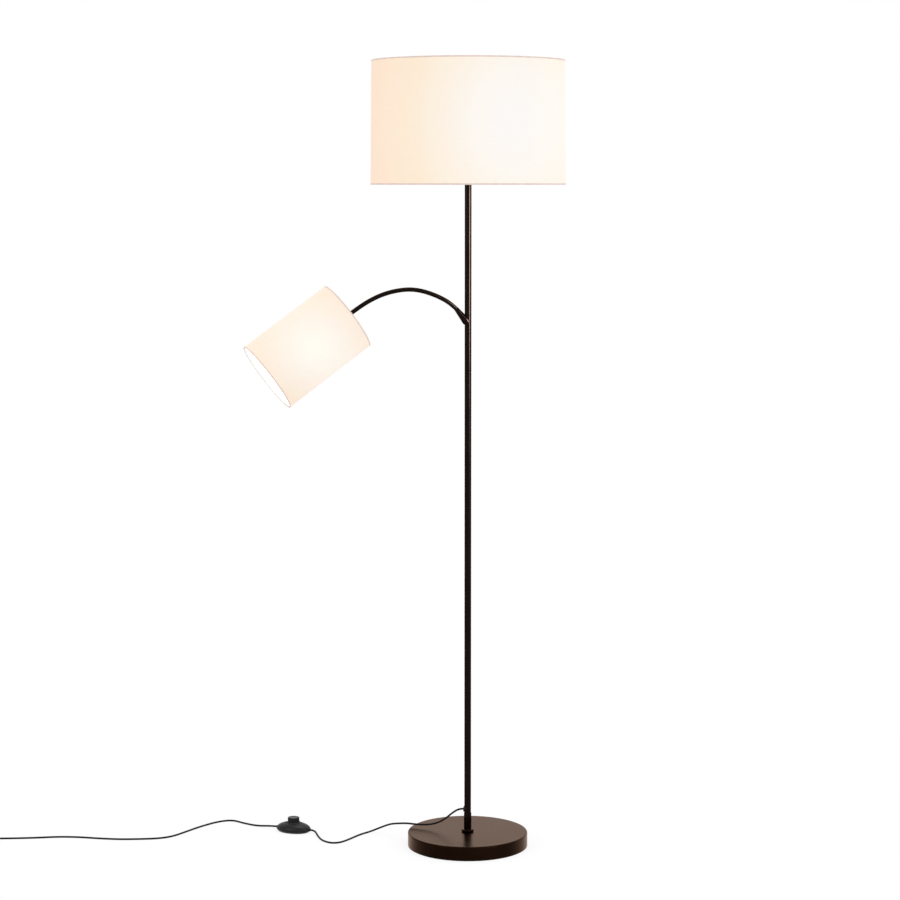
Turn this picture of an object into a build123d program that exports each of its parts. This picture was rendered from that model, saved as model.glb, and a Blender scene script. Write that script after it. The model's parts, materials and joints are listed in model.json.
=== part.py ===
from build123d import *
import math
import os

# Torchiere floor lamp with a drum shade on top and a reading shade on a flexible arm.
# Millimetres. The origin is the middle of the base's underside, on the pole's axis.
# +Z is up, the reading arm leaves the pole towards -X and a little towards -Y.

# ---- clearances ----
fit_gap = 0.1  # between round pieces that sit in each other
slip_gap = 0.3  # between pieces that move against each other, or curved faces side by side

# ---- base ----
base_diameter = 252.0
base_height = 29.9
base_edge_radius = 2.5
cover_wall = 1.2
cover_lift = 0.8  # the cover's rim stands this far off the floor
pad_thickness = 2.0
nut_across_flats = 17.0
nut_height = 6.0
nut_gap = 1.0  # between the nut and the pad
washer_diameter = 30.0
washer_thickness = 2.0
weight_recess_diameter = 36.0
weight_hub_diameter = 60.0
weight_rim_width = 14.0
weight_web = 11.0  # thickness of the casting between its hub and its rim
stud_diameter = 10.0
stud_bore = 7.0
stud_reach = 20.0  # how far the stud stands up into the pole
collar_diameter = 26.0
collar_height = 5.0
foot_sleeve_wall = 0.75
foot_sleeve_length = 40.0

# ---- pole ----
pole_diameter = 14.0
pole_wall = 1.0
pole_section_length = 455.0
insert_length = 24.0
coupler_length = 44.0
coupler_bore = 8.0
nose_length = 8.0  # threaded nose of the top insert, screwed into the lampholder
lead_diameter = 4.0  # every cord and inner lead

# ---- grommet where the cord leaves the pole ----
grommet_height = 47.6  # above the base's top
grommet_angle = 168.0  # about the pole, from +X
grommet_diameter = 12.6
grommet_proud = 1.5
grommet_neck_diameter = 8.0

# ---- branch and flexible arm ----
arm_yaw = 195.5  # the arm's plane about the pole, from +X
branch_drop = 292.5  # from the pole's top down to where the branch's axis meets the pole's
branch_root_diameter = 15.5
branch_tip_diameter = 10.6
branch_bore = 6.0
arm_start_distance = 26.0  # the arm's first point, out from the pole's axis
arm_start_rise = 31.0  # and up from where the branch's axis meets the pole's
arm_span = 21.5
arm_slopes = (40.0, 28.0, 22.0, 16.0, 7.0, -4.0, -10.5, -17.5, -24.5, -30.0, -34.0, -36.0)
arm_diameter = 9.0
arm_bore = 3.6

# ---- main lamp head ----
main_cap_diameter = 40.0
main_cap_height = 16.0
main_holder_diameter = 39.2
main_flange_diameter = 45.0
main_flange_drop = 12.0  # from the cap's top up to the flange's top
main_ring_diameter = 56.0
main_ring_height = 8.0
main_shade_entry_diameter = 400.0
main_shade_taper = 5.0  # the upper end is this much narrower
main_shade_height = 251.5
main_shade_reach = 8.0  # the shade starts this far before the lampholder
main_shade_wall = 1.0
main_wire_diameter = 3.5
main_bulb_diameter = 60.0
main_bulb_length = 110.0
main_bulb_cap_diameter = 26.4
main_bulb_cap_length = 25.0

# ---- reading lamp head ----
reading_cap_diameter = 30.0
reading_cap_height = 12.0
reading_holder_diameter = 27.8
reading_flange_diameter = 32.0
reading_flange_drop = 10.0
reading_ring_diameter = 42.0
reading_ring_height = 6.0
reading_shade_entry_diameter = 151.0
reading_shade_flare = 1.5  # the open end is this much wider
reading_shade_height = 206.0
reading_shade_reach = 5.0
reading_shade_wall = 0.9
reading_wire_diameter = 2.5
reading_bulb_diameter = 45.0
reading_bulb_length = 78.0
reading_bulb_cap_diameter = 13.8
reading_bulb_cap_length = 21.0

# ---- parts of both heads ----
cap_wall = 2.0
cap_floor = 4.0
holder_spigot = 5.0  # the holder's body reaches this far down into its cap
holder_floor = 8.0  # insulating floor of the lampholder, under the bulb's contact
flange_thickness = 2.0
fitter_thickness = 2.0
fitter_width = 7.0
spoke_count = 3
grip_grooves = 12  # round the shade's nut
grip_groove_diameter = 1.6
bulb_wall = 1.0
bulb_contact_height = 2.5  # the cap narrows to its contact over this length
bulb_skirt_step = 1.0  # the cone's foot is this much larger than the cap
bulb_skirt_height = 3.0
bulb_base_angle = 20.0  # where the bulb's cone meets its round end, below its middle

# ---- foot switch ----
switch_place = (-374.6, 108.5)
switch_angle = 158.8  # its long axis, from +X
switch_length = 77.0
switch_width = 52.0
switch_seam_height = 6.5
switch_dome_rise = 14.3
switch_keel_depth = 13.0  # how deep the lower half's round form would reach, cut flat at the floor
switch_wall = 1.8
neck_height = 21.5
neck_wall = 1.4
button_diameter = 25.0
button_top = 31.1
button_wall = 2.0
button_edge_radius = 1.5
button_flange_diameter = 27.9
button_flange_top = 16.1
button_flange_thickness = 1.5
button_travel = 3.5
stem_diameter = 4.0
spring_diameter = 9.0
spring_wall = 1.0
contact_block = (22.0, 16.0, 5.0)
contact_bevel = 0.6
screw_offset = 24.0
screw_diameter = 3.0
screw_head_diameter = 5.6
screw_head_height = 2.0
screw_slot_width = 0.8
screw_slot_depth = 0.8
screw_top = 11.0
screw_sink = 0.6  # screw heads lie this far above the floor
boss_wall = 1.5
boss_foot = 0.2  # the lower bosses stop this far above the floor
bushing_diameter = 7.0
bushing_length = 8.0
bushing_proud = 1.0

# ---- cord ----
cord_radius = lead_diameter / 2
grommet_lead = 9.0  # straight run out of the grommet
inlet_lead = 10.0  # straight run into the switch
outlet_lead = 14.0
cord_to_switch_points = (
    (-32, 7.3, 67.8), (-46, 11.5, 54.4), (-60, 16, 45), (-76, 20.5, 39.2), (-93, 25.5, 36.7),
    (-111, 31.5, 36.1), (-129, 40.5, 35.9), (-146, 50, 33), (-165, 75.5, 25), (-186, 91, 13.2),
    (-208, 91, 4), (-230, 75, 2), (-249, 41, 2), (-268, 12, 2), (-287, 6, 2), (-303.5, 20, 2),
    (-313.5, 38, 2.3), (-321, 62.5, 4),
)
cord_from_switch_points = (
    (-454, 141.5, 2.6), (-484, 163, 2), (-513, 192, 2), (-541, 181, 2),
    (-563, 158, 2), (-586, 128, 2), (-609, 91, 2), (-631, 58.5, 2), (-658, 43, 2),
    (-697, 38, 2), (-741, 36, 2), (-786, 43, 2), (-831, 54, 2), (-876, 56, 2),
    (-920, 48, 2), (-963, 44, 2), (-1006, 42, 2),
)
coil_centre = (-1048.0, 14.0)
coil_radius = 28.0  # the first, outermost half turn
coil_pitch = 4.6  # between turns side by side
coil_climb = 4.5  # between the layers
coil_half_turns = 5  # in each layer, the climbing half turn among the first ones
coil_tail = 27.0

# ---- mains plug, lying flat ----
plug_width = 35.0
plug_thickness = 13.0
plug_length = 36.0
plug_nose = 24.0  # width at the pins' face
plug_rear_taper = 11.0  # the body widens over this length from its cord end
plug_front_taper = 13.5
plug_corner_radius = 4.0
plug_edge_radius = 2.5
relief_length = 26.0
relief_tip_diameter = 6.0
relief_root_diameter = 9.5
relief_shoulder = 2.0  # the body's cord end is this much wider than the relief on each side
relief_sink = 1.0  # the relief reaches this far into the body
pin_diameter = 4.0
pin_length = 19.0
pin_spacing = 18.6
pin_sleeve_length = 10.0
pin_sleeve_wall = 0.4

# ---- places worked out from the sizes ----
pole_radius = pole_diameter / 2
pole_bore_radius = pole_radius - pole_wall
pole_top = base_height + 3 * pole_section_length
branch_height = pole_top - branch_drop
arm_start = (arm_start_distance, branch_height + arm_start_rise)
foot_sleeve_radius = pole_radius + foot_sleeve_wall + fit_gap
cover_ceiling = base_height - cover_wall
cover_bore_radius = base_diameter / 2 - cover_wall
arm_radius = arm_diameter / 2
main_shade_far_diameter = main_shade_entry_diameter - main_shade_taper
reading_shade_far_diameter = reading_shade_entry_diameter + reading_shade_flare
standing = (Align.CENTER, Align.CENTER, Align.MIN)


def disc(radius, bottom, top):
    """A round bar on the Z axis."""
    return Pos(0, 0, bottom) * Cylinder(radius, top - bottom, align=standing)


def sleeve(outer, inner, bottom, top):
    """A round tube on the Z axis."""
    return disc(outer, bottom, top) - disc(inner, bottom, top)


def turned(*edges):
    """A turned piece: its edges are drawn with the radius as x and the height as y."""
    return revolve(Plane.XZ * make_face(Curve() + list(edges)), Axis.Z)


def turned_outline(*points):
    """A turned piece with straight edges."""
    return revolve(Plane.XZ * make_face(Polyline(*points, close=True)), Axis.Z)


def rod(start, end, radius):
    """A round bar between two points."""
    along = Vector(*end) - Vector(*start)
    return Plane(origin=start, z_dir=along) * Cylinder(radius, along.length, align=standing)


def save(name, shape):
    export_step(shape, f"parts/{name}.step")


# ---- base ----
def base_cover():
    body = disc(base_diameter / 2, cover_lift, base_height)
    top_edge = body.edges().group_by(Axis.Z)[-1]
    body = fillet(top_edge, base_edge_radius)
    body -= disc(cover_bore_radius, 0, cover_ceiling)
    return body - disc(stud_diameter / 2 + fit_gap, 0, base_height)


def base_weight():
    """A cast disc whose hub and rim the nut pulls up against the cover."""
    radius = cover_bore_radius - slip_gap
    body = disc(radius, pad_thickness, cover_ceiling)
    pocket_floor = pad_thickness + weight_web
    body -= sleeve(radius - weight_rim_width, weight_hub_diameter / 2, pocket_floor, cover_ceiling)
    body -= disc(stud_diameter / 2 + fit_gap, 0, base_height)
    return body - disc(weight_recess_diameter / 2, 0, recess_ceiling())


def recess_ceiling():
    return pad_thickness + nut_gap + nut_height + washer_thickness


def base_pad():
    return disc(cover_bore_radius - slip_gap, 0, pad_thickness)


def base_washer():
    ceiling = recess_ceiling()
    bore = stud_diameter / 2 + fit_gap
    return sleeve(washer_diameter / 2, bore, ceiling - washer_thickness, ceiling)


def base_nut():
    top = recess_ceiling() - washer_thickness
    corner = nut_across_flats / 2 / math.cos(math.pi / 6)
    hexagon = extrude(RegularPolygon(corner, 6), nut_height)
    hexagon = Pos(0, 0, top - nut_height) * hexagon
    return hexagon - disc(stud_diameter / 2 + fit_gap, 0, top)


def base_stud():
    """The threaded tube that clamps weight, cover and pole together."""
    bottom = recess_ceiling() - washer_thickness - nut_height
    top = base_height + stud_reach
    return sleeve(stud_diameter / 2, stud_bore / 2, bottom, top)


def base_collar():
    inner = foot_sleeve_radius + fit_gap
    ring = sleeve(collar_diameter / 2, inner, base_height, base_height + collar_height)
    outside = ring.edges().filter_by(GeomType.CIRCLE).sort_by(SortBy.RADIUS)[-2:]
    return fillet(outside, collar_height * 0.45)


# ---- pole ----
def foot_sleeve():
    inner = pole_radius + fit_gap
    body = sleeve(foot_sleeve_radius, inner, base_height, base_height + foot_sleeve_length)
    rim = body.edges().group_by(Axis.Z)[-1].sort_by(SortBy.RADIUS)[-1:]
    return chamfer(rim, foot_sleeve_wall / 2)


def foot_insert():
    outer = pole_bore_radius - fit_gap
    return sleeve(outer, stud_diameter / 2 + fit_gap / 2, base_height, base_height + insert_length)


def grommet_axis():
    """The frame of the cord's exit: its z runs out of the pole."""
    turn = math.radians(grommet_angle)
    outward = Vector(math.cos(turn), math.sin(turn), 0)
    return Plane(origin=(0, 0, base_height + grommet_height), z_dir=outward)


def branch_axis():
    """The frame of the branch: its z runs from the pole's axis to the arm's first point."""
    root = arm_place(0, branch_height)
    return Plane(origin=root, z_dir=arm_place(*arm_start) - root)


def pole_section(number):
    bottom = base_height + number * pole_section_length
    return sleeve(pole_radius, pole_bore_radius, bottom, bottom + pole_section_length)


def pole_lower():
    hole = grommet_axis() * disc(grommet_neck_diameter / 2 + fit_gap, 0, pole_diameter)
    return pole_section(0) - hole


def pole_upper():
    hole = branch_axis() * disc(branch_bore / 2, 0, pole_diameter * 2)
    return pole_section(2) - hole


def pole_coupler(number):
    """The threaded bush inside the joint over pole section NUMBER."""
    middle = base_height + (number + 1) * pole_section_length
    half = coupler_length / 2
    return sleeve(pole_bore_radius - fit_gap, coupler_bore / 2, middle - half, middle + half)


def top_insert():
    """The bush in the pole's end, whose nose screws into the main lampholder."""
    nose = stud_diameter / 2
    bush = disc(pole_bore_radius - fit_gap, pole_top - insert_length, pole_top)
    bush += disc(nose, pole_top, pole_top + nose_length)
    return bush - disc(stud_bore / 2, pole_top - insert_length, pole_top + nose_length)


def grommet():
    """A rubber bush snapped into the pole's side, its flange shaped to the tube."""
    flange = disc(grommet_diameter / 2, pole_radius / 2, pole_radius + grommet_proud)
    rim = flange.edges().group_by(Axis.Z)[-1]
    flange = fillet(rim, grommet_proud * 0.6)
    flange = grommet_axis() * flange
    flange -= disc(pole_radius + fit_gap / 2, 0, base_height + 2 * grommet_height)
    neck = disc(grommet_neck_diameter / 2, pole_bore_radius, pole_radius + 1)
    return flange + grommet_axis() * neck


def inner_lead():
    """The lead inside the pole, from the grommet up to the main lampholder."""
    start = grommet_axis().from_local_coords(Vector(0, 0, pole_bore_radius))
    corner = grommet_axis().origin
    top = Vector(0, 0, pole_top + main_cap_height - holder_spigot)
    path = FilletPolyline(start, corner, top, radius=lead_diameter)
    section = Plane(origin=start, z_dir=corner - start) * Circle(cord_radius)
    return sweep(section, path=path)


# ---- branch and arm ----
def arm_place(distance, height):
    """A point of the arm's plane, in the lamp's frame."""
    turn = math.radians(arm_yaw)
    return Vector(distance * math.cos(turn), distance * math.sin(turn), height)


def arm_points():
    distance, height = arm_start
    points = [arm_place(distance, height)]
    for slope in arm_slopes:
        distance += arm_span * math.cos(math.radians(slope))
        height += arm_span * math.sin(math.radians(slope))
        points.append(arm_place(distance, height))
    return points


def branch():
    """The cone welded to the pole's side, ending in a seat for the arm's first link."""
    length = (arm_place(*arm_start) - arm_place(0, branch_height)).length
    cone = Cone(branch_root_diameter / 2, branch_tip_diameter / 2, length, align=standing)
    cone = branch_axis() * cone
    cone -= Pos(0, 0, branch_height) * Cylinder(pole_radius + fit_gap / 2, 4 * pole_diameter)
    cone -= Pos(*arm_place(*arm_start)) * Sphere(arm_radius + slip_gap)
    return cone - branch_axis() * disc(branch_bore / 2, 0, length)


def arm_link(start, end, seated):
    """One link: a ball at its start, and at its end a round seat for the next link's ball."""
    length = (end - start).length
    bore = arm_bore / 2
    ball_bottom = -math.sqrt(arm_radius**2 - bore**2)
    ball_side = arm_radius * math.sqrt(0.5)
    ball = ThreePointArc((bore, ball_bottom), (ball_side, -ball_side), (arm_radius, 0))
    if seated:
        top_edges = [Line((arm_radius, length), (bore, length))]
        rim, throat = length, length
    else:
        seat = arm_radius + slip_gap
        rim = length - math.sqrt(seat**2 - arm_radius**2)
        throat = length - math.sqrt(seat**2 - bore**2)
        seat_side = seat * math.sqrt(0.5)
        middle = (seat_side, length - seat_side)
        top_edges = [ThreePointArc((arm_radius, rim), middle, (bore, throat))]
    side = Line((arm_radius, 0), (arm_radius, rim))
    inside = Line((bore, throat), (bore, ball_bottom))
    return Plane(origin=start, z_dir=end - start) * turned(ball, side, *top_edges, inside)


# ---- lamp heads, built with their lampholder's cap at z = 0 and their bulb along +Z ----
def holder_cap(diameter, height, entry_radius):
    outer = diameter / 2
    body = disc(outer, 0, height)
    body = fillet(body.edges().group_by(Axis.Z)[0], cap_floor * 0.8)
    body -= disc(outer - cap_wall, cap_floor, height)
    return body - disc(entry_radius, 0, cap_floor)


def holder_body(cap_diameter, cap_height, diameter, flange_diameter, flange_drop, bulb_bore, top):
    flange_top = cap_height + flange_drop
    body = disc(cap_diameter / 2 - cap_wall - fit_gap, cap_height - holder_spigot, cap_height)
    body += disc(diameter / 2, cap_height, top)
    body += disc(flange_diameter / 2, flange_top - flange_thickness, flange_top)
    return body - disc(bulb_bore, bulb_seat(cap_height), top)


def bulb_seat(cap_height):
    return cap_height - holder_spigot + holder_floor


def shade_ring(holder_diameter, diameter, bottom, height):
    """The threaded ring that clamps the shade's fitter to the holder's flange."""
    ring = sleeve(diameter / 2, holder_diameter / 2 + fit_gap, bottom, bottom + height)
    corners = ring.edges().filter_by(GeomType.CIRCLE).group_by(SortBy.RADIUS)[-1]
    ring = fillet(corners, height * 0.2)
    groove = Pos(diameter / 2, 0, 0) * disc(grip_groove_diameter / 2, bottom, bottom + height)
    for number in range(grip_grooves):
        ring -= Rot(0, 0, number * 360 / grip_grooves) * groove
    return ring


def shade_radius(entry, far, height, along):
    """Half the shade's diameter, ALONG its axis from its entry end."""
    return (entry + (far - entry) * along / height) / 2


def shade_skin(entry, far, height, wall):
    outer = [(entry / 2, 0), (far / 2, height)]
    inner = [(far / 2 - wall, height), (entry / 2 - wall, 0)]
    return turned_outline(*outer, *inner)


def wire_ring(entry, far, height, wall, wire, along):
    """A wire hoop just inside the shade's cloth."""
    middle = shade_radius(entry, far, height, along) - wall - fit_gap - wire / 2
    return Pos(0, 0, along) * Torus(middle, wire / 2)


def shade_frame(entry, far, height, wall, wire, fitter_bore, fitter_bottom):
    """The hoop at the shade's entry end, with spokes to the fitter on the lampholder."""
    hoop_place = wire / 2
    hoop_middle = shade_radius(entry, far, height, hoop_place) - wall - fit_gap - wire / 2
    fitter_top = fitter_bottom + fitter_thickness
    fitter = sleeve(fitter_bore + fitter_width, fitter_bore, fitter_bottom, fitter_top)
    frame = fitter + wire_ring(entry, far, height, wall, wire, hoop_place)
    spoke_radius = wire * 0.45
    inner_height = fitter_top - spoke_radius - fit_gap
    inner_end = (fitter_bore + fitter_width - wire / 2, 0, inner_height)
    for number in range(spoke_count):
        spoke = rod(inner_end, (hoop_middle, 0, hoop_place), spoke_radius)
        frame += Rot(0, 0, 90 + number * 360 / spoke_count) * spoke
    return frame


def bulb(seat, diameter, length, cap_diameter, cap_length):
    """The bulb's screw cap, its plastic cone and its hollow round end."""
    radius = diameter / 2
    neck = cap_diameter / 2
    cap_top = seat + cap_length
    middle = seat + length - radius
    angle = math.radians(bulb_base_angle)
    joint = (radius * math.cos(angle), middle - radius * math.sin(angle))
    tip = neck * 0.45
    shoulder = seat + bulb_contact_height
    cap = turned_outline((0, seat), (tip, seat), (neck, shoulder), (neck, cap_top), (0, cap_top))
    foot = neck + bulb_skirt_step
    skirt = (foot + bulb_skirt_step / 2, cap_top + bulb_skirt_height)
    cone = turned_outline((0, cap_top), (foot, cap_top), skirt, joint, (0, joint[1]))
    inner = radius - bulb_wall
    inner_joint = (math.sqrt(inner**2 - (middle - joint[1]) ** 2), joint[1])
    diagonal = math.sqrt(0.5)
    outside_middle = (radius * diagonal, middle + radius * diagonal)
    outside = ThreePointArc(joint, outside_middle, (0, middle + radius))
    top = Line((0, middle + radius), (0, middle + inner))
    inside_middle = (inner * diagonal, middle + inner * diagonal)
    inside = ThreePointArc((0, middle + inner), inside_middle, inner_joint)
    globe = turned(outside, top, inside, Line(inner_joint, joint))
    return cap, cone, globe


def lamp_head(name, place, cap, holder, ring, shade, lamp, entry_radius):
    """Everything from the lampholder to the shade, put at PLACE."""
    cap_diameter, cap_height = cap
    holder_diameter, flange_diameter, flange_drop = holder
    ring_diameter, ring_height = ring
    entry, far, height, reach, wall, wire = shade
    bulb_diameter, bulb_length, bulb_cap_diameter, bulb_cap_length = lamp
    seat = bulb_seat(cap_height)
    bulb_bore = bulb_cap_diameter / 2 + slip_gap
    holder_top = seat + bulb_cap_length - slip_gap
    fitter_bottom = cap_height + flange_drop
    fitter_bore = holder_diameter / 2 + 2 * slip_gap
    skin = (entry, far, height, wall)
    frame = shade_frame(*skin, wire, fitter_bore, fitter_bottom + reach)
    ring_bottom = fitter_bottom + fitter_thickness
    pieces = {
        "holder_cap": holder_cap(cap_diameter, cap_height, entry_radius),
        "holder_body": holder_body(cap_diameter, cap_height, *holder, bulb_bore, holder_top),
        "shade_nut": shade_ring(holder_diameter, ring_diameter, ring_bottom, ring_height),
        "shade_frame": Pos(0, 0, -reach) * frame,
        "shade_hoop": Pos(0, 0, -reach) * wire_ring(*skin, wire, height - wire / 2),
        "shade": Pos(0, 0, -reach) * shade_skin(*skin),
    }
    bulb_pieces = bulb(seat, bulb_diameter, bulb_length, bulb_cap_diameter, bulb_cap_length)
    for piece, shape in zip(("bulb_cap", "bulb_cone", "bulb_globe"), bulb_pieces):
        pieces[piece] = shape
    for piece, shape in pieces.items():
        save(f"{name}_{piece}", place * shape)


# ---- foot switch, built with its long axis on X ----
def pebble(length, width, seam, rise, depth):
    """A closed oval form: a dome over the seam and a deeper keel under it."""
    dome = revolve(Plane.XZ * make_face(quarter_oval(length / 2, rise)), Axis.Z)
    keel = revolve(Plane.XZ * make_face(quarter_oval(length / 2, -depth)), Axis.Z)
    flat = width / length
    return (Pos(0, 0, seam) * scale(dome, by=(1, flat, 1)), Pos(0, 0, seam) * scale(keel, by=(1, flat, 1)))


def quarter_oval(reach, rise):
    side = 0 if rise > 0 else 270
    arc = EllipticalCenterArc((0, 0), reach, abs(rise), start_angle=side, arc_size=90)
    return Curve() + [arc, Line((0, 0), (reach, 0)), Line((0, 0), (0, rise))]


def switch_forms():
    outer = pebble(switch_length, switch_width, switch_seam_height, switch_dome_rise, switch_keel_depth)
    inner = pebble(
        switch_length - 2 * switch_wall,
        switch_width - 2 * switch_wall,
        switch_seam_height,
        switch_dome_rise - switch_wall,
        switch_keel_depth - switch_wall,
    )
    return outer, inner


def bushing_bores():
    bore = Rot(0, 90, 0) * Cylinder(bushing_diameter / 2 + fit_gap, switch_length * 1.2)
    bore = Pos(0, 0, switch_seam_height) * bore
    return bore - Box(switch_length - 2 * bushing_length, switch_width, 4 * switch_seam_height)


def switch_lower():
    outer, inner = switch_forms()
    space = Box(switch_length, switch_width, switch_seam_height, align=standing)
    body = outer[1] & space
    body -= inner[1] & Pos(0, 0, switch_wall) * space
    for side in (-1, 1):
        spot = Pos(side * screw_offset, 0, 0)
        body += spot * disc(screw_head_diameter / 2 + boss_wall, boss_foot, switch_seam_height)
        body -= spot * disc(screw_diameter / 2 + fit_gap, 0, switch_seam_height)
        body -= spot * disc(screw_head_diameter / 2 + fit_gap, 0, screw_sink + screw_head_height)
    return body - bushing_bores()


def switch_upper():
    outer, inner = switch_forms()
    neck_outer = button_diameter / 2 + slip_gap + neck_wall
    boss_top = switch_seam_height + switch_dome_rise - switch_wall
    body = outer[0] + disc(neck_outer, switch_seam_height + 1, neck_height)
    body -= inner[0]
    for side in (-1, 1):
        spot = Pos(side * screw_offset, 0, 0)
        boss = spot * disc(screw_diameter / 2 + boss_wall, switch_seam_height + fit_gap, boss_top)
        body += boss & outer[0]
        body -= spot * disc(screw_diameter / 2 + fit_gap / 2, 0, screw_top + fit_gap)
    body -= disc(button_diameter / 2 + slip_gap, 0, neck_height + 1)
    return body - bushing_bores()


def switch_button():
    body = disc(button_diameter / 2, button_flange_top - button_flange_thickness, button_top)
    body = fillet(body.edges().group_by(Axis.Z)[-1], button_edge_radius)
    flange_bottom = button_flange_top - button_flange_thickness
    body += disc(button_flange_diameter / 2, flange_bottom, button_flange_top)
    body -= disc(button_diameter / 2 - button_wall, flange_bottom, button_top - button_wall)
    stem_bottom = switch_wall + contact_block[2] + button_travel + slip_gap
    return body + disc(stem_diameter / 2, stem_bottom, button_top - button_wall)


def switch_spring():
    outer = spring_diameter / 2
    bottom = switch_wall + contact_block[2]
    return sleeve(outer, outer - spring_wall, bottom, button_top - button_wall)


def switch_contacts():
    length, width, height = contact_block
    block = Pos(0, 0, switch_wall) * Box(length, width, height, align=standing)
    return chamfer(block.edges().group_by(Axis.Z)[-1], contact_bevel)


def switch_screws():
    screws = []
    for side in (-1, 1):
        shank = disc(screw_diameter / 2, screw_sink, screw_top)
        head = disc(screw_head_diameter / 2, screw_sink, screw_sink + screw_head_height)
        slot = Box(screw_head_diameter, screw_slot_width, 2 * screw_slot_depth)
        screw = shank + head - Pos(0, 0, screw_sink) * slot
        screws.append(Pos(side * screw_offset, 0, 0) * screw)
    return Compound(screws)


def switch_bushings():
    bushings = []
    for side in (-1, 1):
        outer_end = switch_length / 2 + bushing_proud
        inner = (side * (outer_end - bushing_length), 0, switch_seam_height)
        outer = (side * outer_end, 0, switch_seam_height)
        bushings.append(rod(inner, outer, bushing_diameter / 2))
    return Compound(bushings)


def switch_frame():
    return Pos(switch_place[0], switch_place[1], 0) * Rot(0, 0, switch_angle)


def switch_port(side):
    """Where a cord meets the switch: the end of a bushing, and the way out of it."""
    reach = side * (switch_length / 2 + bushing_proud)
    turn = math.radians(switch_angle)
    out = Vector(math.cos(turn), math.sin(turn), 0)
    middle = Vector(switch_place[0], switch_place[1], switch_seam_height)
    return middle + out * reach, out * side


# ---- cord ----
def cord_tube(points, name):
    """A tube of straight runs joined by arcs as large as the runs allow."""
    points = [Vector(*point) for point in points]
    runs = [after - before for before, after in zip(points, points[1:])]
    radii = []
    for before, after in zip(runs, runs[1:]):
        half_turn = math.radians(before.get_angle(after)) / 2
        radii.append(0.45 * min(before.length, after.length) / math.tan(half_turn))
    path = FilletPolyline(*points, radius=radii)
    section = Plane(origin=points[0], z_dir=runs[0]) * Circle(cord_radius)
    tube = sweep(section, path=path)
    plain = math.pi * cord_radius**2 * path.length
    print(f"{name}: length {path.length:.0f} mm, radii {[round(radius) for radius in radii]}")
    print(f"{name}: volume {tube.volume:.0f}, section times length {plain:.0f}")
    return tube


def cord_to_switch():
    start = grommet_axis().from_local_coords(Vector(0, 0, pole_radius + grommet_proud))
    first = start + grommet_axis().z_dir * grommet_lead
    end, out = switch_port(-1)
    points = [start, first, *cord_to_switch_points, end + out * inlet_lead, end]
    return cord_tube(points, "cord_to_switch")


def cord_from_switch():
    start, out = switch_port(1)
    end = (coil_centre[0] + lead_diameter, coil_centre[1] + coil_radius, cord_radius)
    points = [start, start + out * outlet_lead, *cord_from_switch_points, end]
    return cord_tube(points, "cord_from_switch")


def coil_path():
    """Half turns that spiral in on the floor, climb, and spiral out on top of the first ones."""
    centre_x, y = coil_centre[0], coil_centre[1] + coil_radius
    height = cord_radius
    edges = [Line((centre_x + lead_diameter, y, height), (centre_x, y, height))]
    radius = coil_radius
    step = coil_pitch / 2
    side = -1
    for number in range(2 * coil_half_turns):
        down = -1 if number % 2 == 0 else 1
        start = (centre_x, y, height)
        end_y = y + down * 2 * radius
        climbing = number == coil_half_turns
        reach = radius if not climbing else math.hypot(radius, coil_climb / 2)
        middle = (centre_x + side * reach, (y + end_y) / 2, height + (coil_climb / 2 if climbing else 0))
        if climbing:
            top = (centre_x, end_y, height + coil_climb)
            first = Edge.make_tangent_arc(start, (side, 0, 0), middle)
            edges += [first, Edge.make_tangent_arc(middle, first % 1, top)]
            height += coil_climb
        else:
            edges.append(ThreePointArc(start, middle, (centre_x, end_y, height)))
        y = end_y
        side = -side
        radius += step if number >= coil_half_turns else -step
    edges.append(Line((centre_x, y, height), (centre_x - coil_tail, y, height)))
    return edges, Vector(centre_x - coil_tail, y, height)


def least_gap(edges):
    """The nearest that the coil's surface comes to itself, measured on points along its line."""
    steps = 60
    places = []
    walked = 0.0
    for edge in edges:
        for number in range(steps):
            spot = edge @ (number / steps)
            places.append((walked + edge.length * number / steps, spot.X, spot.Y, spot.Z))
        walked += edge.length
    nearest = walked
    for index, (here, *first) in enumerate(places):
        for there, *second in places[index + 1:]:
            if there - here > 6 * lead_diameter:
                nearest = min(nearest, math.dist(first, second))
    return nearest - lead_diameter


def cord_coil():
    edges, end = coil_path()
    path = Wire([edge if isinstance(edge, Edge) else edge.edge() for edge in edges])
    section = Plane(origin=path @ 0, z_dir=path % 0) * Circle(cord_radius)
    print(f"cord_coil: length {path.length:.0f} mm, least gap {least_gap(edges):.2f} mm")
    return sweep(section, path=path), end


# ---- plug, built with its cord end at the origin and its pins towards +X ----
def plug_face():
    """How far the face with the pins is from the cord."""
    return relief_length - relief_sink + plug_length


def plug_body():
    relief = Cone(relief_tip_diameter / 2, relief_root_diameter / 2, relief_length, align=standing)
    relief = Rot(0, 90, 0) * relief
    rear = relief_length - relief_sink
    face = plug_face()
    corners = [
        (rear, relief_root_diameter / 2 + relief_shoulder),
        (rear + plug_rear_taper, plug_width / 2),
        (face - plug_front_taper, plug_width / 2),
        (face, plug_nose / 2),
    ]
    mirrored = [(along, -across) for along, across in reversed(corners)]
    body = extrude(make_face(Polyline(*corners, *mirrored, close=True)), plug_thickness)
    body = fillet(body.edges().filter_by(Axis.Z), plug_corner_radius)
    flat_edges = body.edges().group_by(Axis.Z)
    body = fillet(flat_edges[0] + flat_edges[-1], plug_edge_radius)
    return relief + Pos(0, 0, -plug_thickness / 2) * body


def pin_places():
    return [side * pin_spacing / 2 for side in (-1, 1)]


def pin_sleeve(across, radius):
    """A ring of the given outer radius round a pin's root."""
    start = (plug_face(), across, 0)
    end = (plug_face() + pin_sleeve_length, across, 0)
    return rod(start, end, radius) - rod(start, end, pin_diameter / 2 - pin_sleeve_wall)


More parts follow.
